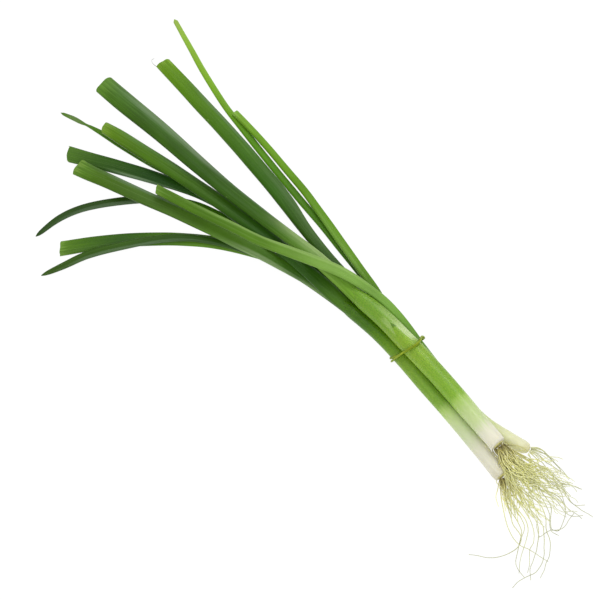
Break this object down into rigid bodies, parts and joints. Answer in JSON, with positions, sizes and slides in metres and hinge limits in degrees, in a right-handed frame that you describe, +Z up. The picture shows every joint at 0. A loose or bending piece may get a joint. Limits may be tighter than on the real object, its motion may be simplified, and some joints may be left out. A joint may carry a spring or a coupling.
{
  "type": "spring onion bunch",
  "caption": "Bunch of spring onions lying flat, white shanks with loose roots at one end and hollow green leaves fanned out at the other, held by a thin rubber band.",
  "frame": {"origin": "centre of the bunch's outline on the surface that it lies on", "axes": "+X along the shanks towards the roots, +Z up, the leaves' fan bends towards -Y"},
  "size_m": [0.4372, 0.1774, 0.0268],
  "materials": {
    "shank": "smooth and slightly glossy plant skin, white at the root end, turning pale and then full green",
    "leaf": "fine lengthwise ribs with a dull grey-green wax bloom",
    "young_leaf": "light green with fine lengthwise ribs",
    "root": "dry cream fibres, olive brown at the plate",
    "band": "olive yellow rubber, satin"
  },
  "bodies": {
    "root": {"shank_a": "shank", "shank_b": "shank", "shank_c": "shank", "leaf_a_main": "leaf", "leaf_a_broad": "leaf", "leaf_a_low": "leaf", "leaf_a_point": "leaf", "leaf_b_main": "leaf", "leaf_b_over": "young_leaf", "leaf_b_under": "leaf", "leaf_b_thread": "leaf", "leaf_c_main": "leaf", "leaf_c_side": "young_leaf", "leaf_c_point": "young_leaf", "leaf_c_under": "leaf", "roots_a": "root", "roots_b": "root", "roots_c": "root", "rubber_band": "band"}
  },
  "joints": []
}
